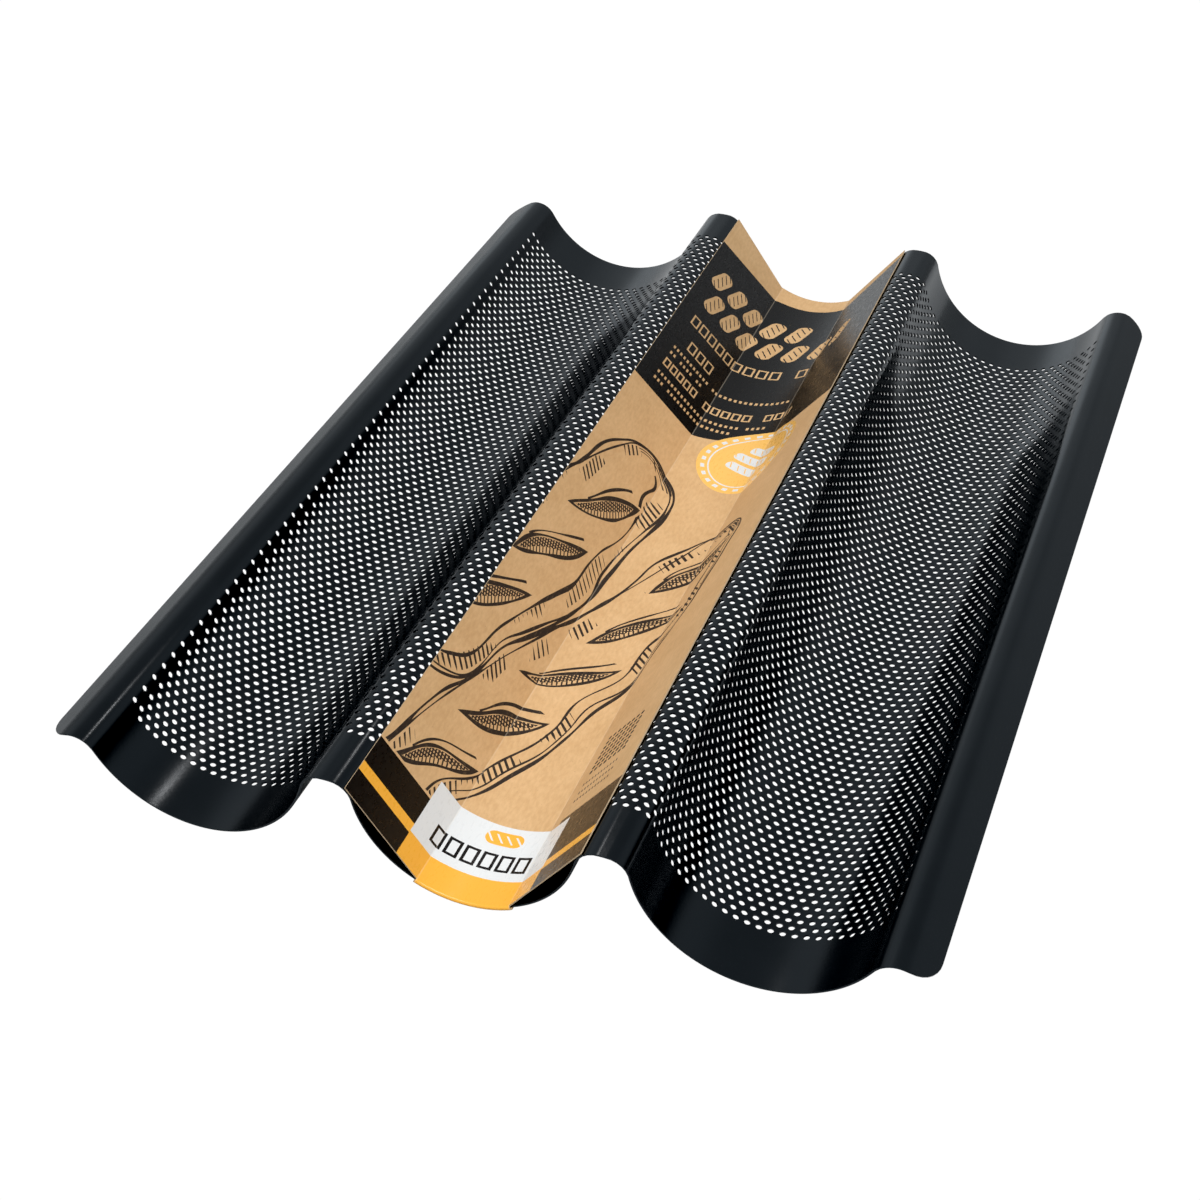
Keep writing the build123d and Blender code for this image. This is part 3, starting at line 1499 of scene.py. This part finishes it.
# ------------------------------------------------------------------ card band
@dataclass
class CardBand:
    """The folded card: bowed bottom panel, two straight side panels, a fold and a flap at each end."""

    section: SheetSection = field(default_factory=SheetSection)
    length: float = 385.0 * MM
    card: float = 0.4 * MM
    card_gap: float = 0.05 * MM
    dot_room: float = 0.15 * MM
    end_gap: float = 0.2 * MM
    panel_width: float = 30.0 * MM
    side_width: float = 36.2 * MM
    side_lean: float = math.radians(53.3)
    flap: float = 28.0 * MM
    crease_reach: float = 0.25 * MM
    crease_lift: float = 0.03 * MM
    panel_steps: int = 7
    side_steps: int = 8
    along_steps: int = 48
    fold_steps: int = 10
    flap_steps: int = 6
    face: Finish = field(default_factory=PrintedKraft)
    back: Finish = field(default_factory=KraftStock)
    edge: Finish = field(default_factory=CutEdge)

    def panel_radius(self) -> float:
        """Radius of the bowed panel's mid-surface."""
        return self.section.middle_radius - self.section.sheet - self.card_gap - self.card / 2

    def trough_axis(self) -> float:
        """Height of the middle trough's axis."""
        return self.section.rise() - self.section.sheet / 2 + self.section.middle_radius

    def fold_depth(self) -> float:
        """Height over the outside of a fold: sheet, card on both sides and the room between them."""
        return self.dot_room + self.section.sheet + self.card_gap + 2 * self.card

    def crease(self) -> tuple[float, float, float]:
        """Angle of the crease round the trough's axis, and its x and z."""
        angle = math.asin(self.panel_width / 2 / self.panel_radius())
        return angle, self.panel_width / 2, self.trough_axis() - self.panel_radius() * math.cos(angle)

    def across_section(self) -> list[tuple[float, float, float, float, float]]:
        """Section of the right half, from the middle to the cut edge.

        Returns:
            Flat distance, x, z and the printed face's normal in x and z, for each place.
        """
        radius, axis, lean = self.panel_radius(), self.trough_axis(), self.side_lean
        angle, crease_x, crease_z = self.crease()
        flat = radius * angle
        rows: list[tuple[float, float, float, float, float]] = []

        def add(distance: float, x: float, z: float, turn: float) -> None:
            """Adds a place where the card is turned by an angle."""
            rows.append((distance, x, z, -math.sin(turn), math.cos(turn)))

        for i in range(self.panel_steps):
            turn = angle * i / (self.panel_steps - 0.6)
            add(radius * turn, radius * math.sin(turn), axis - radius * math.cos(turn), turn)
        for i in (-1, 0, 1):
            turn = angle + (lean - angle) * (i + 2) / 4
            shift, way = i * self.crease_reach, angle if i < 0 else lean
            x = crease_x + shift * math.cos(way) - self.crease_lift * math.sin(turn)
            z = crease_z + shift * math.sin(way) + self.crease_lift * math.cos(turn)
            add(flat + shift, x, z, turn)
        even = [self.side_width * i / self.side_steps for i in range(2, self.side_steps + 1)]
        for run in (0.7 * MM, 3.0 * MM, *even):
            add(flat + run, crease_x + run * math.cos(lean), crease_z + run * math.sin(lean), lean)
        return rows

    def mesh(self) -> bpy.types.Mesh:
        """Builds the folded card as one closed mesh.

        Returns:
            The mesh, with the flat card's coordinates as its "flat_card" attribute.
        """
        half = self.card / 2
        right = self.across_section()
        left = [(-s, -x, z, -nx, nz) for s, x, z, nx, nz in right[:0:-1]]
        section = left + right
        crease = self.panel_radius() * self.crease()[0] + ROUNDING
        strip = [i for i, row in enumerate(section) if abs(row[0]) <= crease]
        stop = self.length / 2
        count = self.along_steps
        stations = [(-stop + self.length * i / count, 0.0, 0.0) for i in range(count + 1)]

        bend = (self.fold_depth() - self.card) / 2
        turns = [math.pi * i / self.fold_steps for i in range(self.fold_steps + 1)]
        fold = [(stop + self.end_gap + bend * math.sin(a), bend * (1 - math.cos(a)), a) for a in turns]
        runs = [self.flap * i / self.flap_steps for i in range(1, self.flap_steps + 1)]
        tail = [(stop - run, 2 * bend, math.pi) for run in runs]
        vertices: list[tuple[float, float, float]] = []
        flats: list[tuple[float, float, float]] = []
        grid: dict[tuple[int, int, int], int] = {}

        def lay(i: int, j: int, y: float, drop: float, tilt: float, flat_y: float) -> None:
            """Adds the printed and the plain vertex at one place of the card.

            Args:
                i: place across, in the section.
                j: place along; below 0 and above the last station it is on a fold or a flap.
                y: distance along.
                drop: how far the card has gone down round the fold.
                tilt: how far it has turned there.
                flat_y: distance along on the flat card.
            """
            s, x, z, nx, nz = section[i]
            down = (-nx * drop, -nz * drop)
            for level in (1, -1):
                thick = half * level
                vertices.append((
                    x + down[0] + nx * thick * math.cos(tilt),
                    y + math.copysign(1, y) * thick * math.sin(tilt) if tilt else y,
                    z + down[1] + nz * thick * math.cos(tilt),
                ))
                flats.append((s / MM, flat_y / MM, 0.0))
                grid[i, j, level] = len(vertices) - 1

        for j, (y, drop, tilt) in enumerate(stations):
            for i in range(len(section)):
                lay(i, j, y, drop, tilt, y)
        for sign, base in ((1, count), (-1, 0)):
            flat_y = stop
            before = (stop, 0.0)
            for k, (y, drop, tilt) in enumerate(fold + tail, 1):
                flat_y += math.hypot(y - before[0], drop - before[1])
                before = (y, drop)
                for i in strip:
                    lay(i, base + sign * k, sign * y, drop, tilt, sign * flat_y)

        faces: list[list[int]] = []
        kinds: list[int] = []

        def quad(kind: int, *keys: tuple[int, int, int]) -> None:
            """Adds one face from grid places."""
            faces.append([grid[key] for key in keys])
            kinds.append(kind)

        ends = len(fold + tail)
        cells = {(i, j) for j in range(count) for i in range(len(section) - 1)}
        cells |= {(i, j) for j in (*range(-ends, 0), *range(count, count + ends)) for i in strip[:-1]}
        for i, j in cells:
            quad(0, (i, j, 1), (i + 1, j, 1), (i + 1, j + 1, 1), (i, j + 1, 1))
            quad(1, (i, j, -1), (i, j + 1, -1), (i + 1, j + 1, -1), (i + 1, j, -1))
            for other, a, b in (
                ((i, j - 1), (i, j), (i + 1, j)), ((i + 1, j), (i + 1, j), (i + 1, j + 1)),
                ((i, j + 1), (i + 1, j + 1), (i, j + 1)), ((i - 1, j), (i, j + 1), (i, j)),
            ):
                if other not in cells:
                    quad(2, (*a, -1), (*b, -1), (*b, 1), (*a, 1))
        mesh = bpy.data.meshes.new("card_band_folded")
        mesh.from_pydata(vertices, [], faces)
        mesh.polygons.foreach_set("material_index", kinds)
        mesh.polygons.foreach_set("use_smooth", [kind != 2 for kind in kinds])
        attribute = mesh.attributes.new("flat_card", "FLOAT_VECTOR", "POINT")
        attribute.data.foreach_set("vector", [value for flat in flats for value in flat])
        sharp = [False] * len(mesh.edges)
        by_edge: dict[int, set[int]] = {}
        for polygon in mesh.polygons:
            for loop in polygon.loop_indices:
                by_edge.setdefault(mesh.loops[loop].edge_index, set()).add(polygon.material_index)
        for edge, found in by_edge.items():
            sharp[edge] = len(found) > 1
        mesh.edges.foreach_set("use_edge_sharp", sharp)
        return mesh

    def build(self) -> bpy.types.Object:
        """Makes and dresses the band.

        Returns:
            The piece.
        """
        mesh = self.mesh()
        for finish in (self.face, self.back, self.edge):
            mesh.materials.append(finish.make())
        band = bpy.data.objects.new("card_band_folded", mesh)
        bpy.context.scene.collection.objects.link(band)
        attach(band, "root")
        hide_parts("card_band")
        LOG.info("%s: %d faces", band.name, len(mesh.polygons))
        return band


@dataclass
class GlueDots:
    """The two adhesive dots under the flaps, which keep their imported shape."""

    nodes: tuple[str, ...] = ("front_glue_dot", "rear_glue_dot")
    finish: Finish = field(default_factory=TackyDot)

    def build(self) -> None:
        """Dresses the dots."""
        material = self.finish.make()
        for name in self.nodes:
            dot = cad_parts[name]
            dot.data.materials.clear()
            dot.data.materials.append(material)
            LOG.info("%s: dressed", name)


# ------------------------------------------------------------------ studio
@dataclass
class SoftBox:
    """A rectangular area light that looks at a point, in metres and watts."""

    name: str
    place: tuple[float, float, float]
    aim: tuple[float, float, float]
    width: float
    height: float
    power: float
    colour: Colour


@dataclass(frozen=True)
class Surroundings:
    """Light from all round, in soft bands by direction: bright low at the left, dim overhead."""

    colour: Colour = (0.90, 0.96, 1.0)
    strength: float = 1.06
    low_far_left: float = 0.28
    low_left: float = 0.86
    low_right: float = 0.29
    wall_left: float = 0.43
    wall_right: float = 0.37
    ceiling: float = 0.27

    def glow(self, way: Wire) -> Wire:
        """Brightness in each direction.

        Args:
            way: the direction, of length 1.

        Returns:
            The brightness.
        """
        across, _, up = way.parts()
        low, top = up.ramp(0.22, 0.38, 1.0, 0.0), up.ramp(0.55, 0.72)
        far_left, far_right = across.ramp(-0.68, -0.48, 1.0, 0.0), across.ramp(0.48, 0.68)
        right = across.ramp(-0.1, 0.1)
        left_part = far_left * self.low_far_left + (1 - far_left) * (1 - right) * self.low_left
        band = left_part + (1 - far_right) * right * self.low_right
        wall = self.wall_left - right * (self.wall_left - self.wall_right)
        return low * band + (1 - low) * (1 - top) * wall + top * self.ceiling


@dataclass
class Studio:
    """Floor and backdrop, soft boxes, surrounding light and the camera."""

    floor_size: float = 6.0
    seen_floor: float = -0.20 * MM
    lighting_floor: float = -0.05 * MM
    target: tuple[float, float, float] = (-13.09 * MM, -40.97 * MM, 0.9 * MM)
    distance: float = 720.6 * MM
    azimuth: float = math.radians(19.450)
    elevation: float = math.radians(37.638)
    roll: float = math.radians(1.463)
    lens: float = 61.39
    sensor: float = 36.0
    clip: tuple[float, float] = (0.01, 50.0)
    black_level: float = 0.003
    surroundings: Surroundings = Surroundings()
    boxes: tuple[SoftBox, ...] = (
        SoftBox(
            "overhead", place=(0.06, -1.2, 3.0), aim=(0.0, 0.0, 0.0), width=2.2, height=1.6,
            power=119.0, colour=(0.965, 0.985, 1.0),
        ),
        SoftBox(
            "glint", place=(-0.048, -0.001, 0.238), aim=(-0.104, -0.182, 0.005), width=0.021, height=0.012,
            power=0.0175, colour=(1.0, 0.87, 0.79),
        ),
    )

    def build(self) -> None:
        """Sets up the floor, the lights and the camera."""
        self.floor()
        self.world()
        for box in self.boxes:
            self.light(box)
        self.camera()
        scene = bpy.context.scene
        scene.view_settings.view_transform = "Standard"
        scene.view_settings.use_curve_mapping = True
        scene.view_settings.curve_mapping.black_level = (self.black_level,) * 3

    def floor(self) -> None:
        """Adds the floor twice: a matt one lights the object, an even white one with walls is seen."""
        half = self.floor_size / 2
        ring = ((-half, -half), (half, -half), (half, half), (-half, half))
        for name, finish, height, seen in (
            ("floor", ClearFloor(), self.seen_floor, True),
            ("floor_bounce", MattFloor(), self.lighting_floor, False),
        ):
            mesh = bpy.data.meshes.new(name)
            corners = [(x, y, z) for z in (height, half) for x, y in ring]
            walls = [(i, i + 4, (i + 1) % 4 + 4, (i + 1) % 4) for i in range(4)] if seen else []
            mesh.from_pydata(corners, [], [(0, 1, 2, 3), *walls])
            mesh.materials.append(finish.make())
            floor = bpy.data.objects.new(name, mesh)
            floor.visible_camera = seen
            floor.visible_diffuse = floor.visible_glossy = floor.visible_transmission = not seen
            floor.visible_shadow = not seen
            bpy.context.scene.collection.objects.link(floor)

    def world(self) -> None:
        """Surrounds the object with pale light."""
        world = bpy.data.worlds.new("studio")
        bpy.context.scene.world = world
        world.use_nodes = True
        world.node_tree.nodes.clear()
        tree = Tree(world.node_tree)
        way = tree.out(tree.node("ShaderNodeTexCoord"), "Generated")
        around = self.surroundings
        values = {"Color": around.colour, "Strength": around.glow(way) * around.strength}
        shade = tree.node("ShaderNodeBackground", {}, values)
        tree.node("ShaderNodeOutputWorld", {}, {"Surface": tree.out(shade)})

    def light(self, box: SoftBox) -> None:
        """Adds one soft box.

        Args:
            box: its place and size.
        """
        lamp = bpy.data.lights.new(box.name, "AREA")
        lamp.shape = "RECTANGLE"
        lamp.size, lamp.size_y = box.width, box.height
        lamp.energy = box.power
        lamp.color = box.colour
        holder = bpy.data.objects.new(box.name, lamp)
        holder.location = box.place
        look = Vector(box.aim) - Vector(box.place)
        holder.rotation_euler = look.to_track_quat("-Z", "Y").to_euler()
        holder.visible_camera = False
        bpy.context.scene.collection.objects.link(holder)

    def camera(self) -> None:
        """Adds the camera, turned about its own axis by the roll."""
        a, e = self.azimuth, self.elevation
        back = Vector((math.sin(a) * math.cos(e), -math.cos(a) * math.cos(e), math.sin(e)))
        right = Vector((math.cos(a), math.sin(a), 0.0))
        up = back.cross(right)
        x = math.cos(self.roll) * right + math.sin(self.roll) * up
        y = -math.sin(self.roll) * right + math.cos(self.roll) * up
        data = bpy.data.cameras.new("camera")
        data.lens = self.lens
        data.sensor_width = self.sensor
        data.clip_start, data.clip_end = self.clip
        camera = bpy.data.objects.new("camera", data)
        turn = Matrix((x, y, back)).transposed().to_4x4()
        camera.matrix_world = Matrix.Translation(Vector(self.target) + self.distance * back) @ turn
        bpy.context.scene.collection.objects.link(camera)
        bpy.context.scene.camera = camera


def main() -> None:
    """Builds the tray, its band and the studio."""
    logging.basicConfig(level=logging.INFO, format="%(name)s: %(message)s")
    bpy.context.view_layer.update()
    Studio().build()
    PerforatedSheet().build()
    CardBand().build()
    GlueDots().build()


if __name__ == "__main__":
    main()
